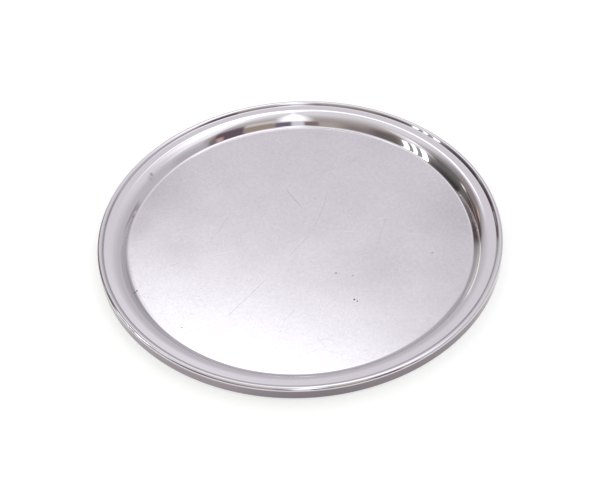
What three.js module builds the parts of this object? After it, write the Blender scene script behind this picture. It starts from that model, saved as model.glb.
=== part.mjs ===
// Round stainless-steel waiter tray with a wired edge.
// The pan is one pressed sheet: flat base, sloping wall, flange, raised bead, turned-down skirt, curled edge.
// A wire ring lies in the curl and stiffens the rim. Millimetres, +Z up, origin under the base's centre.

import * as THREE from 'three';

// Overall size
const outerRadius = 177.5;
const trayHeight = 14.2;
const sheet = 0.7;

// Bead and groove on the show face, at the rim
const beadRadius = 2.5;
const beadFlankSlope = 54;
const beadFlankLength = 1.9;
const grooveRadius = 0.7;

// Flange, shoulder and wall, from the groove inwards and down
const flangeRun = 7.8;
const flangeRise = 0.38;
const flangeBend = 10.3;
const shoulderRun = 5.0;
const shoulderRise = 2.5;
const shoulderBend = 10;
const wallRun = 6.0;
const wallFootBend = 2.0;

// Skirt and wired edge
const skirtLift = 2.1;
const wireDiameter = 2.0;
const wireClearance = 0.2;
const curlGap = 0.5;

// Facets
const turnSegments = 84;
const filletFacets = 3;
const beadFacets = 8;
const curlFacets = 9;
const wireSides = 10;

// Worked out from the sizes above
const curlRadius = wireDiameter / 2 + wireClearance + sheet;
const wireSeat = new THREE.Vector2(outerRadius - curlRadius, skirtLift + curlRadius);
const beadCentre = new THREE.Vector2(outerRadius - beadRadius, trayHeight - beadRadius);

// Headings of the sheet as it runs outwards from the base: 0 is level, a positive one climbs
const skirtHeading = -Math.PI / 2;
const flankHeading = THREE.MathUtils.degToRad(beadFlankSlope);
const curlTurn = 1.5 * Math.PI + Math.asin((curlRadius - sheet - curlGap) / curlRadius);

function along(heading, distance) {
  return new THREE.Vector2(Math.cos(heading), Math.sin(heading)).multiplyScalar(distance);
}

// The show face lies on the left of the sheet's run
function leftOf(heading, distance) {
  return new THREE.Vector2(-Math.sin(heading), Math.cos(heading)).multiplyScalar(distance);
}

// A bend of the show face: it turns about a centre from one heading to another
function bend(centre, radius, fromHeading, toHeading, facets) {
  return { centre, radius, fromHeading, toHeading, facets };
}

// The bend that rounds the corner between two straight runs, kept within half of the shorter run
function filletBend(before, corner, after, radius) {
  const arriving = corner.clone().sub(before);
  const leaving = after.clone().sub(corner);
  const fromHeading = arriving.angle() > Math.PI ? arriving.angle() - 2 * Math.PI : arriving.angle();
  const toHeading = leaving.angle() > Math.PI ? leaving.angle() - 2 * Math.PI : leaving.angle();
  const tangentPerRadius = Math.tan(Math.abs(toHeading - fromHeading) / 2);
  const room = Math.min(arriving.length(), leaving.length()) / 2;
  const fitted = Math.min(radius, room / tangentPerRadius);
  const side = Math.sign(toHeading - fromHeading);
  const start = corner.clone().sub(along(fromHeading, fitted * tangentPerRadius));
  const centre = start.add(leftOf(fromHeading, side * fitted));
  return bend(centre, fitted, fromHeading, toHeading, filletFacets);
}

// Every bend of the sheet from the base to the curled edge
function panBends() {
  const flankTop = beadCentre.clone().add(leftOf(flankHeading, beadRadius));
  const groove = flankTop.clone().sub(along(flankHeading, beadFlankLength));
  const flangeFoot = groove.clone().sub(new THREE.Vector2(flangeRun, flangeRise));
  const wallTop = flangeFoot.clone().sub(new THREE.Vector2(shoulderRun, shoulderRise));
  const wallFoot = new THREE.Vector2(wallTop.x - wallRun, sheet);
  const baseCentre = new THREE.Vector2(0, sheet);
  return [
    filletBend(baseCentre, wallFoot, wallTop, wallFootBend),
    filletBend(wallFoot, wallTop, flangeFoot, shoulderBend),
    filletBend(wallTop, flangeFoot, groove, flangeBend),
    filletBend(flangeFoot, groove, flankTop, grooveRadius),
    bend(beadCentre, beadRadius, flankHeading, skirtHeading, beadFacets),
    bend(wireSeat, curlRadius, skirtHeading, skirtHeading - curlTurn, curlFacets),
  ];
}

// One face of the sheet as profile points, at a depth below the show face
function panFace(depth) {
  const points = [new THREE.Vector2(0, sheet - depth)];
  for (const { centre, radius, fromHeading, toHeading, facets } of panBends()) {
    const side = Math.sign(toHeading - fromHeading);
    for (let facet = 0; facet <= facets; facet += 1) {
      const heading = THREE.MathUtils.lerp(fromHeading, toHeading, facet / facets);
      points.push(centre.clone().add(leftOf(heading, -side * radius - depth)));
    }
  }
  return points;
}

// Revolves a profile of (radius, height) points about the tray's axis
function revolved(profile) {
  const geometry = new THREE.LatheGeometry(profile, turnSegments);
  geometry.rotateX(Math.PI / 2);
  return geometry;
}

function panGeometry() {
  const showFace = panFace(0);
  const backFace = panFace(sheet);
  return revolved([...backFace, ...showFace.reverse()]);
}

function wireGeometry() {
  const section = [];
  for (let side = 0; side <= wireSides; side += 1) {
    const angle = (2 * Math.PI * side) / wireSides;
    section.push(wireSeat.clone().add(along(angle, wireDiameter / 2)));
  }
  section[wireSides].copy(section[0]);
  return revolved(section);
}

function piece(name, geometry, material) {
  const mesh = new THREE.Mesh(geometry, material);
  mesh.name = name;
  return mesh;
}

const polishedSteel = new THREE.MeshStandardMaterial({ color: 0xcfcdd1, roughness: 0.2, metalness: 1 });
const drawnWire = new THREE.MeshStandardMaterial({ color: 0x9d9c9e, roughness: 0.45, metalness: 1 });

const tray = new THREE.Group();
tray.add(piece('tray_pan', panGeometry(), polishedSteel));
tray.add(piece('rim_wire', wireGeometry(), drawnWire));

export default tray;
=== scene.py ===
"""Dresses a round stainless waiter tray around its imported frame: pan, edge wire, studio and camera."""

import logging
import math
from dataclasses import dataclass
from enum import Enum
from typing import Any

import bpy
from mathutils import Euler, Matrix, Vector


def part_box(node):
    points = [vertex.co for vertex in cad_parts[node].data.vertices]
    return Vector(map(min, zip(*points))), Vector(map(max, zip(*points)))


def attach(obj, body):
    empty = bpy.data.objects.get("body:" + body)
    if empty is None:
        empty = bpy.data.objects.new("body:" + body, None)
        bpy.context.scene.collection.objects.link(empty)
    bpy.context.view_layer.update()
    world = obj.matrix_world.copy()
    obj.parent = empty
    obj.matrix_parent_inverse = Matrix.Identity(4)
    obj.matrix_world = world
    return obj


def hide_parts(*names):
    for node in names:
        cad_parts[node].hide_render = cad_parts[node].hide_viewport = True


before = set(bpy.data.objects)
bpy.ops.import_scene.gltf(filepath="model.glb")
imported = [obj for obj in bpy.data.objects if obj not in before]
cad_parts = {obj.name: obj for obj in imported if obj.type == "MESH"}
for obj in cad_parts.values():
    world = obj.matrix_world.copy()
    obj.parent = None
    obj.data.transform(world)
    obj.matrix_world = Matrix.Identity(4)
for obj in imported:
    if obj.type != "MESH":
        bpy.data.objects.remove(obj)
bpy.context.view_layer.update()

log = logging.getLogger("tray")

Triple = tuple[float, float, float]
Colour = Triple
Span = tuple[float, float]

MM = 0.001
FULL_TURN = 2 * math.pi
RIGHT_ANGLE = 90


class Node(Enum):
    """The CAD nodes that the pieces of this scene stand for."""

    PAN = "tray_pan"
    WIRE = "rim_wire"


class Slot(Enum):
    """The record's material slots."""

    POLISHED_STEEL = "polished_steel"
    DRAWN_WIRE = "drawn_wire"


class Body(Enum):
    """The CAD bodies. The tray has no joint, so it is one body."""

    TRAY = "root"


class Face(Enum):
    """The material index of each face of the pressed sheet."""

    SHOW = 0
    BACK = 1


class Signal:
    """A node's output socket, which Python's operators turn into Math nodes."""

    def __init__(self, board: "Board", socket: bpy.types.NodeSocket) -> None:
        """Keeps the socket and the board that it lies on."""
        self.board = board
        self.socket = socket

    def _math(self, operation: str, *values: "Signal | float") -> "Signal":
        """Adds one Math node that works on the given values."""
        return self.board.node("ShaderNodeMath", {"operation": operation}, dict(enumerate(values)))

    def __add__(self, other: "Signal | float") -> "Signal":
        """This value plus another."""
        return self._math("ADD", self, other)

    def __radd__(self, other: float) -> "Signal":
        """A number plus this value."""
        return self._math("ADD", other, self)

    def __sub__(self, other: "Signal | float") -> "Signal":
        """This value less another."""
        return self._math("SUBTRACT", self, other)

    def __rsub__(self, other: float) -> "Signal":
        """A number less this value."""
        return self._math("SUBTRACT", other, self)

    def __mul__(self, other: "Signal | float") -> "Signal":
        """This value times another."""
        return self._math("MULTIPLY", self, other)

    def __rmul__(self, other: float) -> "Signal":
        """A number times this value."""
        return self._math("MULTIPLY", other, self)

    def __truediv__(self, other: "Signal | float") -> "Signal":
        """This value over another."""
        return self._math("DIVIDE", self, other)

    def __rtruediv__(self, other: float) -> "Signal":
        """A number over this value."""
        return self._math("DIVIDE", other, self)

    def __abs__(self) -> "Signal":
        """This value without its sign."""
        return self._math("ABSOLUTE", self)

    def root(self) -> "Signal":
        """This value's square root."""
        return self._math("SQRT", self)

    def arcsine(self) -> "Signal":
        """The angle with this sine, in radians."""
        return self._math("ARCSINE", self)

    def arctangent(self, other: "Signal") -> "Signal":
        """The angle with this value over another as its tangent, in radians."""
        return self._math("ARCTAN2", self, other)

    def wrapped(self, low: float, high: float) -> "Signal":
        """This value brought between two bounds by whole turns."""
        return self._math("WRAP", self, high, low)

    def rise(self, low: float, high: float) -> "Signal":
        """A smooth step from 0 at one value to 1 at a higher one.

        Args:
            low: The value below which the step is 0.
            high: The value above which the step is 1.

        Returns:
            The step.
        """
        inputs = {"Value": self, "From Min": low, "From Max": high}
        return self.board.node("ShaderNodeMapRange", {"interpolation_type": "SMOOTHSTEP"}, inputs)

    def fall(self, low: float, high: float) -> "Signal":
        """A smooth step from 1 at one value to 0 at a higher one."""
        return 1 - self.rise(low, high)

    def rise_over(self, shares: Span, length: float) -> "Signal":
        """A smooth step from 0 to 1 whose bounds are shares of a length."""
        return self.rise(shares[0] * length, shares[1] * length)

    def fall_over(self, shares: Span, length: float) -> "Signal":
        """A smooth step from 1 to 0 whose bounds are shares of a length."""
        return self.fall(shares[0] * length, shares[1] * length)


@dataclass(frozen=True)
class Spot:
    """A point on a piece: its coordinates, together and singly, and its distance from the tray's axis."""

    place: Signal
    x: Signal
    y: Signal
    z: Signal
    radius: Signal


class Board:
    """A node tree that nodes are added to one after another."""

    def __init__(self, tree: bpy.types.NodeTree) -> None:
        """Takes over a node tree and empties it."""
        self.tree = tree
        self.tree.nodes.clear()

    def node(
        self,
        kind: str,
        settings: dict[str, Any] | None = None,
        inputs: dict[str | int, Any] | None = None,
        output: str | int = 0,
    ) -> Signal:
        """Adds a node.

        Args:
            kind: The node's type.
            settings: Its settings, which are set first. The stops of a ramp are pairs of place and colour.
            inputs: A value or a signal for each socket, by name or by number.
            output: The output socket to go on with, by name or by number.

        Returns:
            The output socket as a signal.
        """
        made = self.tree.nodes.new(kind)
        for name, setting in (settings or {}).items():
            if name == "stops":
                self._set_stops(made.color_ramp, setting)
            else:
                setattr(made, name, setting)
        for key, value in (inputs or {}).items():
            socket = self._find(made.inputs, key)
            if isinstance(value, Signal):
                self.tree.links.new(value.socket, socket)
            else:
                socket.default_value = value
        return Signal(self, self._find(made.outputs, output)) if made.outputs else Signal(self, None)

    @staticmethod
    def _find(sockets: Any, key: str | int) -> bpy.types.NodeSocket:
        """The socket of that number, or the usable one of that name."""
        if isinstance(key, int):
            return sockets[key]
        return next(socket for socket in sockets if socket.name == key and not socket.is_unavailable)

    @staticmethod
    def _set_stops(ramp: bpy.types.ColorRamp, stops: list[tuple[float, Colour]]) -> None:
        """Gives a colour ramp its stops.

        Args:
            ramp: The ramp, which has two stops or more from the start.
            stops: Pairs of place and colour, from the lowest place up.
        """
        while len(ramp.elements) < len(stops):
            ramp.elements.new(1.0)
        for element, (place, colour) in zip(ramp.elements, stops):
            element.position = place
            element.color = (*colour, 1.0)

    def split(self, vector: Signal) -> tuple[Signal, Signal, Signal]:
        """The three parts of a vector."""
        parts = self.node("ShaderNodeSeparateXYZ", inputs={"Vector": vector}).socket.node.outputs
        return Signal(self, parts[0]), Signal(self, parts[1]), Signal(self, parts[2])

    def joined(self, x: Signal | float, y: Signal | float, z: Signal | float) -> Signal:
        """A vector made of three values."""
        return self.node("ShaderNodeCombineXYZ", inputs={"X": x, "Y": y, "Z": z})

    def mixed(self, share: Signal | float, first: Any, second: Any) -> Signal:
        """A blend of two colours.

        Args:
            share: How much of the second colour shows, from 0 to 1.
            first: The first colour, as a signal or as numbers.
            second: The second colour, as a signal or as numbers.

        Returns:
            The blended colour.
        """
        opaque = [c if isinstance(c, Signal) else (*c, 1.0) for c in (first, second)]
        inputs = {"Factor": share, "A": opaque[0], "B": opaque[1]}
        return self.node("ShaderNodeMix", {"data_type": "RGBA"}, inputs, "Result")

    def scaled(self, colour: Any, gain: Signal) -> Signal:
        """A colour made lighter or darker by a value.

        Args:
            colour: The colour, as a signal or as numbers.
            gain: What it is multiplied by.

        Returns:
            The new colour.
        """
        colour = colour if isinstance(colour, Signal) else tuple(colour)
        inputs = {0: colour, "Scale": gain}
        return self.node("ShaderNodeVectorMath", {"operation": "SCALE"}, inputs, "Vector")

    def noise(self, place: Signal, scale: float, detail: float = 2.0, roughness: float = 0.5) -> Signal:
        """Cloudy noise from 0 to 1 about 0.5.

        Args:
            place: The coordinates that it is read at.
            scale: Clouds for each unit of those coordinates.
            detail: How many finer layers lie on the first one.
            roughness: How strong the finer layers are.

        Returns:
            The noise.
        """
        inputs = {"Vector": place, "Scale": scale, "Detail": detail, "Roughness": roughness}
        return self.node("ShaderNodeTexNoise", {"noise_dimensions": "3D"}, inputs)

    def turned(self, place: Signal, heading: float, scale: Triple) -> Signal:
        """Coordinates turned about Z and then stretched.

        Args:
            place: The coordinates to turn.
            heading: The angle of the new X axis, in radians.
            scale: The stretch along the new axes.

        Returns:
            The new coordinates.
        """
        inputs = {"Vector": place, "Rotation": (0.0, 0.0, heading)}
        flat = self.node("ShaderNodeMapping", {"vector_type": "TEXTURE"}, inputs)
        return self.node("ShaderNodeVectorMath", {"operation": "MULTIPLY"}, {0: flat, 1: scale})

    def spot(self) -> Spot:
        """The point of the piece that is being shaded, from its Object coordinates."""
        place = self.node("ShaderNodeTexCoord", output="Object")
        x, y, z = self.split(place)
        return Spot(place, x, y, z, (x * x + y * y).root())

    def rings(self, spot: Spot, change: float, pitch: float) -> Signal:
        """Noise drawn out into rings about the tray's axis, as turning and buffing leave them.

        Args:
            spot: The point on the tray.
            change: How much the rings change on their way round.
            pitch: How many rings lie in a metre.

        Returns:
            The noise.
        """
        east = spot.x / spot.radius * change
        north = spot.y / spot.radius * change
        return self.noise(self.joined(east, north, (spot.radius + spot.z) * pitch), 1.0)

    def distance(self, place: Signal, centre: tuple[float, float]) -> Signal:
        """How far a place lies from a point of the tray, seen from above.

        Args:
            place: The coordinates on the tray.
            centre: The point, in millimetres from the tray's axis.

        Returns:
            The distance in metres.
        """
        middle = (*(Vector(centre) * MM), 0.0)
        flat = self.node("ShaderNodeVectorMath", {"operation": "MULTIPLY"}, {0: place, 1: (1.0, 1.0, 0.0)})
        return self.node("ShaderNodeVectorMath", {"operation": "DISTANCE"}, {0: flat, 1: middle}, "Value")


@dataclass(frozen=True)
class Scratch:
    """A scratch on the base, from one point to another, in millimetres from the tray's axis."""

    CORE = 0.1
    TAPER = 0.55

    start: tuple[float, float]
    end: tuple[float, float]
    strength: float
    bow: float = 0.0
    width: float = 0.55

    def mask(self, board: Board, place: Signal) -> Signal:
        """How much of the scratch shows at a place.

        Args:
            board: The board to add nodes to.
            place: The coordinates on the tray.

        Returns:
            0 beside the scratch, and up to its strength in it.
        """
        reach = Vector(self.end) - Vector(self.start)
        middle = (Vector(self.start) + Vector(self.end)) / 2 * MM
        inputs = {
            "Vector": place,
            "Location": (*middle, 0.0),
            "Rotation": (0.0, 0.0, math.atan2(reach.y, reach.x)),
            "Scale": (reach.length / 2 * MM, self.width / 2 * MM, 1.0),
        }
        along, across, _ = board.split(board.node("ShaderNodeMapping", {"vector_type": "TEXTURE"}, inputs))
        sideways = abs(across - (1 - along * along) * (self.bow / self.width * 2))
        return sideways.fall(self.CORE, 1.0) * abs(along).fall(self.TAPER, 1.0) * self.strength


@dataclass(frozen=True)
class Pit:
    """A small dark pit in the base, in millimetres from the tray's axis."""

    CORE = 0.3

    centre: tuple[float, float]
    radius: float

    def mask(self, board: Board, place: Signal) -> Signal:
        """1 in the pit and 0 away from it."""
        return board.distance(place, self.centre).fall(self.CORE * self.radius * MM, self.radius * MM)


@dataclass(frozen=True)
class StainAndShadePatch:
    """A soft darker patch, in millimetres from the tray's axis: a real stain on the wall, and painted
    shade on the base.
    """

    centre: tuple[float, float]
    radius: float
    strength: float

    def mask(self, board: Board, place: Signal) -> Signal:
        """Its strength in the middle, fading to 0 at its radius."""
        return board.distance(place, self.centre).fall(0.0, self.radius * MM) * self.strength


WEAR_SCRATCHES = (
    Scratch((-12.0, 66.5), (4.0, 37.4), 0.9),
    Scratch((-59.5, 39.6), (-83.5, -5.1), 0.45, bow=0.8),
    Scratch((-118.3, 50.7), (-76.8, 41.2), 0.35, bow=-1.5),
    Scratch((9.3, 3.1), (-10.8, -22.5), 0.6),
    Scratch((-114.8, -26.4), (-104.0, -22.6), 0.6),
    Scratch((-75.8, -17.4), (-61.1, -13.3), 0.4),
    Scratch((27.8, 57.8), (12.0, 8.0), 0.4, bow=1.2),
    Scratch((72.6, 40.4), (101.2, 56.0), 0.35, bow=1.0),
    Scratch((80.1, 24.1), (68.1, -12.2), 0.35),
    Scratch((63.6, 108.1), (47.7, 91.1), 0.4),
    Scratch((-28.3, -44.5), (-68.7, -93.1), 0.75, bow=0.6),
    Scratch((-5.4, -82.1), (-17.6, -96.6), 0.45),
)

# Scratches painted lighter than the base: a painted glint.
GLINTING_SCRATCHES = (
    Scratch((89.0, -0.1), (108.5, -4.7), 0.6),
    Scratch((-74.0, -16.0), (-56.0, -11.5), 0.4),
    Scratch((34.0, 6.0), (56.0, 3.0), 0.35),
)

# Broad patches of painted shade on the base, which darken it where its reflected light is bright.
BASE_SHADE_PATCHES = (
    StainAndShadePatch((155.0, 20.0), 75.0, 0.17),
    StainAndShadePatch((-140.0, 70.0), 65.0, 0.17),
    StainAndShadePatch((65.0, -45.0), 55.0, 0.07),
    StainAndShadePatch((-150.0, 22.0), 28.0, 0.13),
    StainAndShadePatch((-105.0, -12.0), 38.0, 0.07),
    StainAndShadePatch((140.0, -60.0), 50.0, 0.09),
)

WALL_STAINS = (
    StainAndShadePatch((-135.4, 84.8), 2.6, 0.5),
    StainAndShadePatch((-136.6, 80.8), 4.0, 0.16),
)

PITS = (
    Pit((-141.2, -53.7), 1.0),
    Pit((-142.5, -56.0), 0.9),
    Pit((-101.2, -97.3), 0.7),
    Pit((29.7, -44.9), 1.1),
    Pit((43.5, -49.1), 0.75),
    Pit((43.2, -76.1), 1.2),
    Pit((45.6, -78.2), 0.95),
    Pit((114.6, -26.6), 0.75),
    Pit((16.0, 49.0), 0.75),
)


@dataclass(frozen=True)
class CreaseShade:
    """Painted shade in the groove, most on the right, and at the left of the base's edge.

    The bands are distances in metres. The sides are shares of a radius, from the tray's axis.
    """

    groove_radius: float
    base_edge: float
    groove_shade: float = 0.20
    groove_band: Span = (0.2 * MM, 1.1 * MM)
    corner_shade: float = 0.16
    corner_offset: float = 0.5 * MM
    corner_band: Span = (0.4 * MM, 1.6 * MM)
    corner_side: Span = (0.35, 0.9)
    edge_shade: float = 0.24
    edge_band: Span = (0.5 * MM, 2.6 * MM)
    edge_side: Span = (-0.95, -0.68)
    edge_front: Span = (-0.26, 0.0)

    def shade(self, spot: Spot) -> Signal:
        """How much darker the painted shade makes the steel.

        Args:
            spot: The point on the tray.

        Returns:
            What is taken off the tone.
        """
        groove = abs(spot.radius - self.groove_radius).fall(*self.groove_band)
        corner = abs(spot.radius - self.groove_radius - self.corner_offset).fall(*self.corner_band)
        corner = corner * spot.x.rise_over(self.corner_side, self.groove_radius)
        edge = abs(spot.radius - self.base_edge).fall(*self.edge_band)
        edge = edge * spot.x.fall_over(self.edge_side, self.base_edge)
        edge = edge * spot.y.fall_over(self.edge_front, self.base_edge)
        return groove * self.groove_shade + corner * self.corner_shade + edge * self.edge_shade


@dataclass(frozen=True)
class SkirtShade:
    """Painted shade on the skirt, standing in for the shadowed floor that it mirrors: most at the front,
    and less on the left than on the right.

    The sides are shares of the skirt's radius, from the tray's axis.
    """

    radius: float
    front_shade: float = 0.10
    front_side: Span = (-0.75, -0.35)
    left_gain: float = 0.20
    left_side: Span = (-0.45, 0.05)
    right_shade: float = 0.04
    right_side: Span = (0.0, 0.5)
    tip_shade: float = 0.12
    tip_side: Span = (-1.0, -0.93)

    def shade(self, spot: Spot) -> Signal:
        """How much darker the painted shade makes the skirt.

        Args:
            spot: The point on the tray.

        Returns:
            What is taken off the tone.
        """
        shade = self.front_shade - spot.x.fall_over(self.left_side, self.radius) * self.left_gain
        shade = shade + spot.x.rise_over(self.right_side, self.radius) * self.right_shade
        shade = shade * spot.y.fall_over(self.front_side, self.radius)
        return shade + spot.y.fall_over(self.tip_side, self.radius) * self.tip_shade


@dataclass(frozen=True)
class ServiceSteel:
    """The show face: a satin base worn by use, a polished wall and rim, and a skirt, with painted shade
    and glints.
    """

    base_edge: float
    skirt_radius: float
    skirt_top: float
    groove_radius: float
    colour: Colour = (0.655, 0.645, 0.668)
    # The skirt's darker colour is painted shade for the shadowed floor that the skirt mirrors.
    skirt_shade_colour: Colour = (0.295, 0.255, 0.28)
    pit_colour: Colour = (0.10, 0.085, 0.09)
    satin: float = 0.165
    polish: float = 0.045
    edge_blend: float = 1.2 * MM
    skirt_side_blend: Span = (0.3 * MM, 0.05 * MM)
    skirt_top_blend: Span = (0.4 * MM, 0.6 * MM)
    cloud_wear: float = 0.09
    smudge_wear: float = 0.10
    smudge_heading: float = 0.5
    smudge_stretch: Triple = (9.0, 22.0, 1.0)
    grain_wear: float = 0.30
    mottle_wear: float = 0.10
    hairline_wear: float = 0.03
    hairline_headings: tuple[float, ...] = (0.35, 1.25, 2.05, 2.8)
    hairline_stretch: Triple = (14.0, 700.0, 1.0)
    hairline_step: float = 3.0
    hairline_cut: Span = (0.60, 0.74)
    hairline_strength: float = 0.6
    hairline_depth: float = 0.0005 * MM
    scratch_shade: float = 0.6
    scratch_glint: float = 0.3
    scratch_depth: float = 0.02 * MM
    pit_depth: float = 0.08 * MM
    wave_height: float = 0.02 * MM
    streak_change: float = 7.0
    streak_pitch: float = 2200.0
    streak_depth: float = 0.0004 * MM
    cloud_roughness: float = 0.06
    hairline_roughness: float = 0.05
    pit_roughness: float = 0.2
    streak_roughness: float = 0.03

    def make(self) -> bpy.types.Material:
        """Builds the material.

        Returns:
            The material for the sheet's show face.
        """
        material = new_material("service_steel")
        board = Board(material.node_tree)
        spot = board.spot()
        on_base = spot.radius.fall(self.base_edge - self.edge_blend, self.base_edge)
        far, near = self.skirt_side_blend
        under, over = self.skirt_top_blend
        on_skirt = spot.radius.rise(self.skirt_radius - far, self.skirt_radius - near)
        on_skirt = on_skirt * spot.z.fall(self.skirt_top - under, self.skirt_top + over)
        clouds = board.noise(spot.place, 28.0, detail=4.0, roughness=0.6)
        hairlines = self._hairlines(board, spot.place)
        dark = self._sum(board, spot.place, WEAR_SCRATCHES) * on_base
        glinting = self._sum(board, spot.place, GLINTING_SCRATCHES) * on_base
        pits = self._sum(board, spot.place, PITS)
        tone = 1 + on_base * self._wear_and_shade(board, spot.place, clouds, hairlines)
        # Painted shade in the groove and at the left of the base's edge.
        tone = tone - CreaseShade(self.groove_radius, self.base_edge).shade(spot)
        # The glinting scratches add a painted glint.
        tone = tone - dark * self.scratch_shade + glinting * self.scratch_glint
        # Painted shade on the skirt, most at the front.
        tone = tone - on_skirt * SkirtShade(self.skirt_radius).shade(spot)
        tone = tone - self._sum(board, spot.place, WALL_STAINS)
        # The skirt's darker colour is painted shade too.
        steel = board.mixed(on_skirt, self.colour, self.skirt_shade_colour)
        colour = board.mixed(pits, board.scaled(steel, tone), self.pit_colour)
        streaks = board.rings(spot, self.streak_change, self.streak_pitch)
        rough_base = self.satin + (clouds - 0.5) * self.cloud_roughness
        rough_base = rough_base + hairlines * self.hairline_roughness + pits * self.pit_roughness
        rough_wall = self.polish + (streaks - 0.5) * self.streak_roughness
        roughness = rough_wall + on_base * (rough_base - rough_wall)
        waves = board.noise(spot.place, 32.0, detail=1.0) * self.wave_height
        height = waves + on_base * hairlines * -self.hairline_depth
        height = height - (dark + glinting) * self.scratch_depth - pits * self.pit_depth
        height = height + (1 - on_base) * streaks * self.streak_depth
        finish_metal(board, colour, roughness, height)
        return material

    def _wear_and_shade(self, board: Board, place: Signal, clouds: Signal, hairlines: Signal) -> Signal:
        """The base's tone: random clouds, smudges, grain and wear lines, less the patches of painted
        shade.

        Args:
            board: The board to add nodes to.
            place: The coordinates on the tray.
            clouds: The broad noise, which the roughness reads too.
            hairlines: The fine wear lines.

        Returns:
            What is added to the base's tone: below 0 where it is darker.
        """
        stretched = board.turned(place, self.smudge_heading, self.smudge_stretch)
        smudges = board.noise(stretched, 1.0, detail=3.0, roughness=0.55)
        grain = board.noise(place, 900.0, detail=2.0, roughness=0.7)
        mottle = board.noise(place, 300.0, detail=1.0)
        wear = (clouds - 0.5) * self.cloud_wear + (smudges - 0.5) * self.smudge_wear
        wear = wear + (grain - 0.5) * self.grain_wear + (mottle - 0.5) * self.mottle_wear
        # The base shade patches taken off here are painted shade.
        return wear - hairlines * self.hairline_wear - self._sum(board, place, BASE_SHADE_PATCHES)

    def _hairlines(self, board: Board, place: Signal) -> Signal:
        """Fine wear lines that cross the base in several directions.

        Args:
            board: The board to add nodes to.
            place: The coordinates on the tray.

        Returns:
            0 between the lines, and more in them, most where they cross.
        """
        along, across, up = self.hairline_stretch
        total: Signal | float = 0.0
        for number, heading in enumerate(self.hairline_headings):
            stretched = board.turned(place, heading, (along + self.hairline_step * number, across, up))
            lines = board.noise(stretched, 1.0, detail=1.0).rise(*self.hairline_cut)
            total = lines * self.hairline_strength + total
        return total

    @staticmethod
    def _sum(board: Board, place: Signal, marks: tuple[Any, ...]) -> Signal:
        """All marks of one kind together.

        Args:
            board: The board to add nodes to.
            place: The coordinates on the tray.
            marks: The scratches, pits or patches.

        Returns:
            The sum of their masks.
        """
        total: Signal | float = 0.0
        for mark in marks:
            total = mark.mask(board, place) + total
        return total


@dataclass(frozen=True)
class MillSteel:
    """The back face: sheet as it came from the mill, with faint turning marks from the spinning lathe."""

    colour: Colour = (0.60, 0.59, 0.61)
    roughness: float = 0.36
    cloud_shade: float = 0.2
    rolled_shade: float = 0.12
    rolled_heading: float = 0.2
    rolled_stretch: Triple = (6.0, 420.0, 6.0)
    cloud_roughness: float = 0.16
    turned_roughness: float = 0.08
    turned_change: float = 3.0
    turned_pitch: float = 900.0
    rolled_depth: float = 0.001 * MM
    turned_depth: float = 0.0015 * MM

    def make(self) -> bpy.types.Material:
        """Builds the material.

        Returns:
            The material for the sheet's back face.
        """
        material = new_material("mill_steel")
        board = Board(material.node_tree)
        spot = board.spot()
        stretched = board.turned(spot.place, self.rolled_heading, self.rolled_stretch)
        rolled = board.noise(stretched, 1.0, detail=3.0)
        turned = board.rings(spot, self.turned_change, self.turned_pitch)
        clouds = board.noise(spot.place, 22.0, detail=4.0, roughness=0.6)
        tone = 1 + (clouds - 0.5) * self.cloud_shade + (rolled - 0.5) * self.rolled_shade
        roughness = self.roughness + (clouds - 0.5) * self.cloud_roughness
        roughness = roughness + (turned - 0.5) * self.turned_roughness
        height = rolled * self.rolled_depth + turned * self.turned_depth
        finish_metal(board, board.scaled(self.colour, tone), roughness, height)
        return material


@dataclass(frozen=True)
class WireSteel:
    """Drawn wire with fine lines along its length."""

    colour: Colour = (0.42, 0.41, 0.42)
    roughness: float = 0.4
    cloud_shade: float = 0.3
    line_shade: float = 0.2
    line_roughness: float = 0.2
    line_change: float = 9.0
    line_pitch: float = 4000.0
    line_depth: float = 0.002 * MM

    def make(self) -> bpy.types.Material:
        """Builds the material.

        Returns:
            The material for the edge wire.
        """
        material = new_material("wire_steel")
        board = Board(material.node_tree)
        spot = board.spot()
        along = spot.x / spot.radius * self.line_change
        stretched = board.joined(along, spot.radius * self.line_pitch, spot.z * self.line_pitch)
        lines = board.noise(stretched, 1.0)
        clouds = board.noise(spot.place, 60.0, detail=3.0)
        tone = 1 + (clouds - 0.5) * self.cloud_shade + (lines - 0.5) * self.line_shade
        roughness = self.roughness + (lines - 0.5) * self.line_roughness
        finish_metal(board, board.scaled(self.colour, tone), roughness, lines * self.line_depth)
        return material


@dataclass(frozen=True)
class SweepPaper:
    """The matt white paper that the tray stands on, lifted to plain white where it is seen or mirrored."""

    colour: Colour = (0.60, 0.625, 0.605)
    lift: Colour = (0.53, 0.53, 0.53)
    fibre_shade: float = 0.01
    roughness: float = 0.95

    def make(self) -> bpy.types.Material:
        """Builds the material.

        Returns:
            The material for the floor.
        """
        material = new_material("sweep_paper")
        board = Board(material.node_tree)
        place = board.node("ShaderNodeTexCoord", output="Object")
        fibres = board.noise(place, 180.0, detail=3.0)
        colour = board.scaled(self.colour, 1 + (fibres - 0.5) * self.fibre_shade)
        seen: Signal | float = 0.0
        for ray in ("Is Camera Ray", "Is Glossy Ray", "Is Transmission Ray"):
            seen = board.node("ShaderNodeLightPath", output=ray) + seen
        inputs = {"Base Color": colour, "Roughness": self.roughness, "Specular IOR Level": 0.0}
        glow = {"Emission Color": board.scaled(self.lift, seen), "Emission Strength": 1.0}
        show_surface(board, board.node("ShaderNodeBsdfPrincipled", inputs={**inputs, **glow}))
        return material


def new_material(name: str) -> bpy.types.Material:
    """An empty node material of that name."""
    material = bpy.data.materials.new(name)
    material.use_nodes = True
    return material


def show_surface(board: Board, shader: Signal) -> None:
    """Sends a shader to the material's output."""
    board.node("ShaderNodeOutputMaterial", inputs={"Surface": shader})


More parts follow.
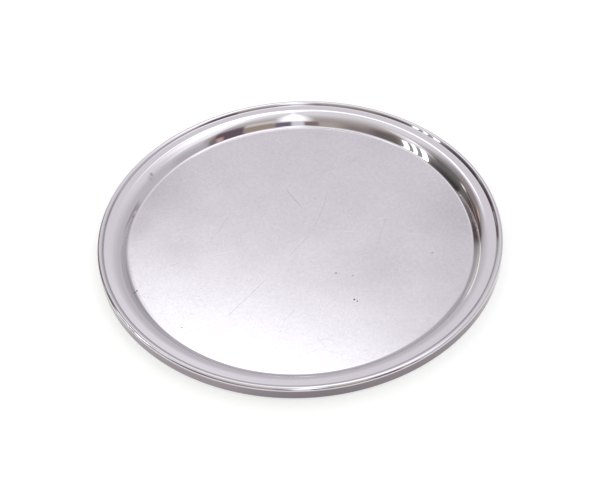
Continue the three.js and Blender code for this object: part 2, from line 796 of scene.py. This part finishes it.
def finish_metal(board: Board, colour: Signal, roughness: Signal, height: Signal) -> None:
    """Ends a board as bare metal.

    Args:
        board: The material's board.
        colour: What the metal reflects.
        roughness: How matt it is, from 0 to 1.
        height: How high its surface stands, in metres.
    """
    bump = board.node("ShaderNodeBump", inputs={"Strength": 1.0, "Distance": 1.0, "Height": height})
    inputs = {"Base Color": colour, "Metallic": 1.0, "Roughness": roughness, "Normal": bump}
    show_surface(board, board.node("ShaderNodeBsdfPrincipled", inputs=inputs))


def deselect_everything() -> None:
    """Leaves no object selected, so that an operator acts on the new piece alone."""
    bpy.ops.object.select_all(action="DESELECT")


def take_up(piece: bpy.types.Object) -> None:
    """Makes one object the selected and active one."""
    deselect_everything()
    piece.select_set(True)
    bpy.context.view_layer.objects.active = piece


def apply_modifier(piece: bpy.types.Object, kind: str, **settings: Any) -> None:
    """Adds a modifier to a piece, sets it and applies it.

    Args:
        piece: The object to change.
        kind: The modifier's type.
        settings: The modifier's settings.
    """
    take_up(piece)
    modifier = piece.modifiers.new(kind.lower(), kind)
    for name, setting in settings.items():
        setattr(modifier, name, setting)
    bpy.ops.object.modifier_apply(modifier=modifier.name)


def seat(piece: bpy.types.Object, node: Node) -> None:
    """Puts a finished piece in the place of its CAD node.

    Args:
        piece: The finished object.
        node: The CAD node that it stands for.
    """
    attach(piece, Body.TRAY.value)
    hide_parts(node.value)
    log.info("%s stands for %s: %d faces", piece.name, node.value, len(piece.data.polygons))


@dataclass(frozen=True)
class Bend:
    """A bend in a sheet's section: it turns about a centre, to the left where the turn is positive."""

    centre: Vector
    start: Vector
    turn: float
    cuts: int

    @property
    def end(self) -> Vector:
        """Where the bend ends."""
        return self.centre + Matrix.Rotation(-self.turn, 3, "Y") @ (self.start - self.centre)


def fillet(before: Vector, corner: Vector, after: Vector, radius: float, cuts: int) -> Bend:
    """The bend that rounds the corner between two straight runs.

    Args:
        before: Where the first run starts.
        corner: Where the runs would meet.
        after: Where the second run ends.
        radius: The bend's radius, kept within half of the shorter run.
        cuts: How many edges the bend is made of.

    Returns:
        The bend.
    """
    arriving = corner - before
    leaving = after - corner
    turn = math.atan2(leaving.z, leaving.x) - math.atan2(arriving.z, arriving.x)
    tangent_share = math.tan(abs(turn) / 2)
    fitted = min(radius, min(arriving.length, leaving.length) / 2 / tangent_share)
    start = corner - arriving.normalized() * fitted * tangent_share
    left = Vector((-arriving.z, 0.0, arriving.x)).normalized()
    return Bend(start + left * math.copysign(fitted, turn), start, turn, cuts)


class SheetPen:
    """Draws the section of a sheet in edit mode, run by run, and then revolves it about Z."""

    DOT = 1 * MM
    HOLD = 0.25 * MM
    MERGE = 0.001 * MM

    def __init__(self, name: str, start: Vector) -> None:
        """Puts down a single vertex.

        Args:
            name: The new piece's name.
            start: The section's first point.
        """
        deselect_everything()
        bpy.ops.mesh.primitive_plane_add(size=self.DOT)
        self.piece = bpy.context.object
        self.piece.name = name
        self.piece.data.name = name
        bpy.ops.object.mode_set(mode="EDIT")
        bpy.ops.mesh.merge(type="CENTER")
        bpy.ops.transform.translate(value=start)
        self.tip = start.copy()

    def run_to(self, end: Vector, cuts: int) -> None:
        """Draws a straight run, with a short edge at each end that keeps the run's shading flat.

        Args:
            end: Where the run ends.
            cuts: How many edges lie between the short ones.
        """
        reach = end - self.tip
        if reach.length < self.MERGE:
            return
        hold = min(self.HOLD, reach.length / 4)
        middle = (reach.length - 2 * hold) / cuts
        for length in (hold, *[middle] * cuts, hold):
            step = reach.normalized() * length
            bpy.ops.mesh.extrude_region_move(TRANSFORM_OT_translate={"value": step})
        self.tip = end.copy()

    def turn_by(self, bend: Bend) -> None:
        """Draws a bend.

        Args:
            bend: The bend, which starts where the pen is.
        """
        side = math.copysign(1.0, bend.turn)
        bpy.ops.mesh.spin(steps=bend.cuts, angle=abs(bend.turn), center=bend.centre, axis=(0.0, side, 0.0))
        self.tip = bend.end

    def revolve(self, segments: int) -> bpy.types.Object:
        """Turns the section about Z, closes the seam and the pole, and points the faces outwards.

        Args:
            segments: How many steps the turn has.

        Returns:
            The finished shell, in object mode.
        """
        bpy.ops.mesh.select_all(action="SELECT")
        bpy.ops.mesh.spin(steps=segments, angle=FULL_TURN, center=(0.0, 0.0, 0.0), axis=(0.0, 0.0, 1.0))
        bpy.ops.mesh.select_all(action="SELECT")
        bpy.ops.mesh.remove_doubles(threshold=self.MERGE)
        bpy.ops.mesh.normals_make_consistent(inside=False)
        bpy.ops.object.mode_set(mode="OBJECT")
        return self.piece


@dataclass
class TrayPan:
    """The pressed pan: base, wall, shoulder, flange, groove, bead, skirt and the curl at its edge."""

    outer_radius: float
    height: float
    sheet: float = 0.7 * MM
    bead_radius: float = 2.5 * MM
    bead_flank_slope: float = math.radians(54)
    bead_flank_length: float = 1.9 * MM
    groove_radius: float = 1.2 * MM
    flange_run: float = 7.8 * MM
    flange_rise: float = 0.38 * MM
    flange_bend: float = 10.3 * MM
    shoulder_run: float = 5.0 * MM
    shoulder_rise: float = 2.5 * MM
    shoulder_bend: float = 12 * MM
    wall_run: float = 6.0 * MM
    wall_foot_slope: float = math.radians(57)
    wall_foot_length: float = 5.1 * MM
    wall_bow: float = 36 * MM
    wall_foot_bend: float = 2.0 * MM
    skirt_lift: float = 2.1 * MM
    wire_diameter: float = 2.0 * MM
    wire_clearance: float = 0.2 * MM
    curl_gap: float = 0.5 * MM
    segments: int = 240
    base_rings: int = 20
    run_cuts: int = 3
    fillet_cuts: int = 12
    groove_cuts: int = 8
    bead_cuts: int = 22
    curl_cuts: int = 32
    crease: float = math.radians(35)

    @property
    def curl_radius(self) -> float:
        """The radius of the curl's show face."""
        return self.wire_diameter / 2 + self.wire_clearance + self.sheet

    @property
    def wire_seat(self) -> Vector:
        """The middle of the wire's section."""
        return Vector((self.outer_radius - self.curl_radius, 0.0, self.skirt_lift + self.curl_radius))

    def bends(self) -> list[Bend]:
        """Every bend of the show face, from the base to the curled edge.

        Returns:
            The bends in the order in which the sheet runs through them.
        """
        slope = self.bead_flank_slope
        bead = Vector((self.outer_radius - self.bead_radius, 0.0, self.height - self.bead_radius))
        flank_top = bead + Vector((-math.sin(slope), 0.0, math.cos(slope))) * self.bead_radius
        groove = flank_top - Vector((math.cos(slope), 0.0, math.sin(slope))) * self.bead_flank_length
        flange_foot = groove - Vector((self.flange_run, 0.0, self.flange_rise))
        wall_top = flange_foot - Vector((self.shoulder_run, 0.0, self.shoulder_rise))
        wall_foot = Vector((wall_top.x - self.wall_run, 0.0, self.sheet))
        steepest = Vector((math.cos(self.wall_foot_slope), 0.0, math.sin(self.wall_foot_slope)))
        wall_waist = wall_foot + steepest * self.wall_foot_length
        centre = Vector((0.0, 0.0, self.sheet))
        skirt_foot = self.wire_seat + Vector((self.curl_radius, 0.0, 0.0))
        open_share = (self.curl_radius - self.sheet - self.curl_gap) / self.curl_radius
        curl_turn = 1.5 * math.pi + math.asin(open_share)
        return [
            fillet(centre, wall_foot, wall_waist, self.wall_foot_bend, self.fillet_cuts),
            fillet(wall_foot, wall_waist, wall_top, self.wall_bow, self.fillet_cuts),
            fillet(wall_waist, wall_top, flange_foot, self.shoulder_bend, self.fillet_cuts),
            fillet(wall_top, flange_foot, groove, self.flange_bend, self.fillet_cuts),
            fillet(flange_foot, groove, flank_top, self.groove_radius, self.groove_cuts),
            Bend(bead, flank_top, -slope - math.pi / 2, self.bead_cuts),
            Bend(self.wire_seat, skirt_foot, -curl_turn, self.curl_cuts),
        ]

    def show_finish(self) -> ServiceSteel:
        """The show face's finish, placed by the section's bends."""
        base, _, _, _, groove, bead, _ = self.bends()
        return ServiceSteel(base.start.x, self.outer_radius, bead.centre.z, groove.end.x)

    def build(self) -> bpy.types.Object:
        """Draws the show face, revolves it and gives it the sheet's thickness.

        Returns:
            The pan as a closed shell.
        """
        pen = SheetPen("tray_pan_sheet", Vector((0.0, 0.0, self.sheet)))
        cuts = self.base_rings
        for bend in self.bends():
            pen.run_to(bend.start, cuts)
            pen.turn_by(bend)
            cuts = self.run_cuts
        pan = pen.revolve(self.segments)
        pan.data.materials.append(self.show_finish().make())
        pan.data.materials.append(MillSteel().make())
        thicken = {"thickness": self.sheet, "offset": -1.0, "use_even_offset": True}
        apply_modifier(pan, "SOLIDIFY", **thicken, material_offset=Face.BACK.value)
        bpy.ops.object.shade_smooth_by_angle(angle=self.crease)
        seat(pan, Node.PAN)
        return pan


@dataclass
class RimWire:
    """The stiffening wire that the skirt's edge is curled around, bent to a ring whose ends butt."""

    seat_point: Vector
    diameter: float
    butt_gap: float = 0.3 * MM
    sides: int = 16
    segments: int = 200
    crease: float = math.radians(40)

    def build(self) -> bpy.types.Object:
        """Spins a round section almost all the way about Z and caps its ends.

        Returns:
            The wire.
        """
        deselect_everything()
        section = {"vertices": self.sides, "radius": self.diameter / 2, "fill_type": "NGON"}
        facing = {"location": self.seat_point, "rotation": (math.pi / 2, 0.0, 0.0)}
        bpy.ops.mesh.primitive_circle_add(**section, **facing)
        wire = bpy.context.object
        wire.name = wire.data.name = "rim_wire_ring"
        bpy.ops.object.transform_apply(location=True, rotation=True, scale=True)
        bpy.ops.object.mode_set(mode="EDIT")
        bpy.ops.mesh.select_all(action="SELECT")
        sweep = FULL_TURN - self.butt_gap / self.seat_point.x
        bpy.ops.mesh.spin(steps=self.segments, angle=sweep, center=(0.0, 0.0, 0.0), axis=(0.0, 0.0, 1.0))
        bpy.ops.mesh.select_all(action="SELECT")
        bpy.ops.mesh.remove_doubles(threshold=SheetPen.MERGE)
        bpy.ops.mesh.normals_make_consistent(inside=False)
        bpy.ops.object.mode_set(mode="OBJECT")
        bpy.ops.object.shade_smooth_by_angle(angle=self.crease)
        wire.data.materials.append(WireSteel().make())
        seat(wire, Node.WIRE)
        return wire


@dataclass(frozen=True)
class Card:
    """A patch of the studio as the tray sees it. Angles are in degrees, azimuth from +Y towards +X."""

    name: str
    azimuth: float
    half_width: float
    low: float
    high: float
    tone: Colour
    side_fade: float = 3.0
    end_fade: float = 5.0
    low_slant: float = 0.0
    high_slant: float = 0.0

    def mask(self, azimuth: Signal, elevation: Signal) -> Signal:
        """How much of the card shows in a direction.

        Args:
            azimuth: The direction's azimuth in degrees.
            elevation: Its angle above the horizon in degrees.

        Returns:
            1 on the card and 0 away from it.
        """
        aside = (azimuth - self.azimuth).wrapped(-180.0, 180.0)
        across = abs(aside).fall(self.half_width - self.side_fade, self.half_width + self.side_fade)
        over_foot = elevation - aside * self.low_slant
        over_top = elevation - aside * self.high_slant
        above = over_foot.rise(self.low - self.end_fade, self.low + self.end_fade)
        below = over_top.fall(self.high - self.end_fade, self.high + self.end_fade)
        return across * above * below


STUDIO_CARDS = (
    Card("dim_left_wall", -56, 23, -12, 53, (0.42, 0.385, 0.38), 8, 8),
    Card("dark_left_wall", -65, 24, -12, 38, (0.20, 0.185, 0.18), 6, 8),
    Card("high_right_window", 104, 20, 44, 78, (1.33, 1.31, 1.35), 6, 10),
    Card("dim_right_wall", 113, 12, 5, 27, (0.64, 0.60, 0.64), 5, 5),
    Card("right_bench", 58, 12, -20, 5.5, (0.47, 0.42, 0.47), 3, 1.5, 0.0, 0.35),
    Card("overhead_softbox", 42, 47, 62, 83, (1.75, 1.73, 1.77), 4, 8),
    Card("softbox_foot", -4, 12, 48.8, 62.5, (2.0, 1.98, 2.03), 4, 3, 0.25, 0.7),
    Card("dim_corner", -122, 9, -10, 34, (0.20, 0.175, 0.165), 5, 8),
    Card("grey_wall", -159, 9, 5, 36, (0.56, 0.50, 0.46), 7, 8),
    Card("near_window", 180, 10, 33, 100, (1.60, 1.60, 1.62), 5, 4),
    Card("window_sill", -177.5, 5, 0, 34, (0.92, 0.90, 0.94), 1.5, 3.5),
    Card("brown_cabinet", -169, 4.5, 10, 33, (0.31, 0.23, 0.22), 1.5, 3.5),
    Card("blue_cloth", 173.5, 5, 10, 34.5, (0.22, 0.19, 0.27), 1.5, 4),
    Card("khaki_wall", 158, 10, 10, 32.5, (0.45, 0.375, 0.31), 1.5, 3),
    Card("khaki_shelf", 158, 11, 34.5, 44, (0.84, 0.78, 0.72), 3, 3),
    Card("purple_flag", 138.5, 9.5, 0, 40, (0.18, 0.13, 0.16), 1.5, 6),
    Card("post_shadow", 128.5, 2.5, 0, 30, (0.28, 0.24, 0.24), 1.5, 4),
    Card("copper_post", 133, 2.2, 0, 27, (0.70, 0.46, 0.43), 1.2, 3),
    Card("window_glow", -98, 10, 25, 60, (1.05, 1.04, 1.03), 4, 6),
    Card("window_frame", -102, 10, 4, 28, (0.40, 0.40, 0.41), 3, 4),
    Card("spot_lamp", -94, 4, 42, 49, (1.75, 1.72, 1.70), 2.5, 2.5),
    Card("black_flag", -80, 13, -12, 12, (0.06, 0.06, 0.06), 2, 8),
    Card("copper_board", -48, 9, 27, 40, (0.39, 0.315, 0.31), 3, 4),
    Card("copper_edge", -43, 2.0, 21.5, 31, (0.84, 0.58, 0.54), 1.5, 2.5),
    Card("dark_wood", -48.5, 11, -40, 18, (0.14, 0.10, 0.095), 2.5, 4),
    Card("light_rail", -56, 11, 11.5, 13, (0.62, 0.60, 0.55), 2, 0.8, -0.9, -0.9),
    Card("white_spot", -62, 1.9, 20, 28, (1.30, 1.32, 1.25), 0.9, 2),
    Card("low_window", -27, 9.5, 2.5, 10.5, (1.22, 1.24, 1.13), 1.5, 2, 0.55, 0.6),
)


@dataclass(frozen=True)
class WindowPane:
    """A pane of the near window on the tray's left: a flat lamp that faces the tray, in metres."""

    name: str
    y: float
    width: float
    height: float = 0.27
    x: float = -0.626
    z: float = 0.30
    radiance: float = 2.8

    def build(self) -> bpy.types.Object:
        """Hangs the lamp.

        Returns:
            The lamp, which shows only in what mirrors it.
        """
        data = bpy.data.lights.new(self.name, "AREA")
        data.shape = "RECTANGLE"
        data.size = self.height
        data.size_y = self.width
        data.energy = self.radiance * math.pi * self.width * self.height
        lamp = bpy.data.objects.new(self.name, data)
        bpy.context.scene.collection.objects.link(lamp)
        lamp.location = (self.x, self.y, self.z)
        lamp.rotation_euler = (0.0, -math.pi / 2, 0.0)
        lamp.visible_camera = False
        log.info("lamp %s", self.name)
        return lamp


NEAR_WINDOW = (
    WindowPane("window_pane_back", 0.026, 0.049),
    WindowPane("window_pane_middle", -0.056, 0.032),
    WindowPane("window_pane_front", -0.131, 0.046),
)


@dataclass
class Studio:
    """The room of cards round the tray, and the paper that it stands on."""

    floor_radius: float = 14.0
    floor_sides: int = 96
    floor_gap: float = 0.05 * MM
    left_corner: Span = (-95, -65)
    right_corner: Span = (116, 130)
    back_tones: tuple[tuple[float, Colour], ...] = (
        (0, (0.70, 0.66, 0.71)),
        (12, (0.74, 0.70, 0.75)),
        (20, (0.73, 0.69, 0.74)),
        (27, (0.78, 0.735, 0.79)),
        (40, (0.88, 0.835, 0.885)),
        (46, (0.95, 0.90, 0.95)),
        (52, (1.00, 0.96, 1.01)),
        (62, (1.02, 0.98, 1.03)),
        (88, (1.04, 1.02, 1.06)),
    )
    near_tones: tuple[tuple[float, Colour], ...] = (
        (0, (0.24, 0.20, 0.19)),
        (24, (0.32, 0.275, 0.26)),
        (31, (0.40, 0.35, 0.33)),
        (35, (0.47, 0.41, 0.39)),
        (41, (0.55, 0.50, 0.48)),
        (52, (0.65, 0.60, 0.585)),
        (64, (0.78, 0.735, 0.73)),
        (78, (0.97, 0.94, 0.96)),
        (88, (1.04, 1.02, 1.06)),
    )

    def build_surroundings(self) -> None:
        """Makes the world: two walls that brighten upwards, and the cards in front of them."""
        world = bpy.data.worlds.new("studio")
        world.use_nodes = True
        bpy.context.scene.world = world
        board = Board(world.node_tree)
        x, y, z = board.split(board.node("ShaderNodeTexCoord", output="Generated"))
        azimuth = x.arctangent(y) * math.degrees(1)
        elevation = z.arcsine() * math.degrees(1)
        height = elevation / RIGHT_ANGLE
        behind = azimuth.rise(*self.left_corner) * azimuth.fall(*self.right_corner)
        near_wall = self._wall(board, height, self.near_tones)
        back_wall = self._wall(board, height, self.back_tones)
        colour = board.mixed(behind, near_wall, back_wall)
        for card in STUDIO_CARDS:
            colour = board.mixed(card.mask(azimuth, elevation), colour, card.tone)
            log.info("studio card %s", card.name)
        light = board.node("ShaderNodeBackground", inputs={"Color": colour, "Strength": 1.0})
        board.node("ShaderNodeOutputWorld", inputs={"Surface": light})
        for pane in NEAR_WINDOW:
            pane.build()

    @staticmethod
    def _wall(board: Board, height: Signal, tones: tuple[tuple[float, Colour], ...]) -> Signal:
        """A wall's colour by height.

        Args:
            board: The world's board.
            height: The elevation as a share of a right angle.
            tones: The wall's colours by elevation in degrees.

        Returns:
            The colour in that direction.
        """
        stops = [(degrees / RIGHT_ANGLE, tone) for degrees, tone in tones]
        return board.node("ShaderNodeValToRGB", {"stops": stops}, {"Fac": height}, "Color")

    def build_floor(self) -> bpy.types.Object:
        """Lays the paper that the tray stands on.

        Returns:
            The floor, which isn't part of the tray.
        """
        deselect_everything()
        disc = {"vertices": self.floor_sides, "radius": self.floor_radius, "fill_type": "NGON"}
        bpy.ops.mesh.primitive_circle_add(**disc, location=(0.0, 0.0, -self.floor_gap))
        floor = bpy.context.object
        floor.name = floor.data.name = "paper_floor"
        bpy.ops.object.transform_apply(location=True, rotation=True, scale=True)
        floor.data.materials.append(SweepPaper().make())
        log.info("floor %s", floor.name)
        return floor


@dataclass(frozen=True)
class PhotoCamera:
    """The camera that took the photograph, looking at the middle of the base."""

    target_height: float
    distance: float = 1.0
    elevation: float = 45.41
    roll: float = -2.95
    lens: float = 67.62
    shift_x: float = 0.00055
    shift_y: float = -0.0207

    def build(self) -> bpy.types.Object:
        """Makes the scene's camera.

        Returns:
            The camera.
        """
        data = bpy.data.cameras.new("photo_camera")
        data.lens = self.lens
        data.shift_x = self.shift_x
        data.shift_y = self.shift_y
        camera = bpy.data.objects.new("photo_camera", data)
        bpy.context.scene.collection.objects.link(camera)
        tilt = math.radians(self.elevation)
        reach = Vector((0.0, -math.cos(tilt), math.sin(tilt))) * self.distance
        camera.location = Vector((0.0, 0.0, self.target_height)) + reach
        upright = Euler((math.pi / 2 - tilt, 0.0, 0.0)).to_matrix()
        camera.rotation_euler = (upright @ Matrix.Rotation(math.radians(self.roll), 3, "Z")).to_euler()
        bpy.context.scene.camera = camera
        return camera


def main() -> None:
    """Builds the studio, the camera and the tray."""
    logging.basicConfig(level=logging.INFO, format="%(name)s: %(message)s")
    bpy.context.scene.view_settings.view_transform = "Standard"
    _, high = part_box(Node.PAN.value)
    studio = Studio()
    studio.build_surroundings()
    studio.build_floor()
    pan = TrayPan(outer_radius=high.x, height=high.z)
    PhotoCamera(target_height=pan.sheet).build()
    pan.build()
    RimWire(pan.wire_seat, pan.wire_diameter).build()


if __name__ == "__main__":
    main()
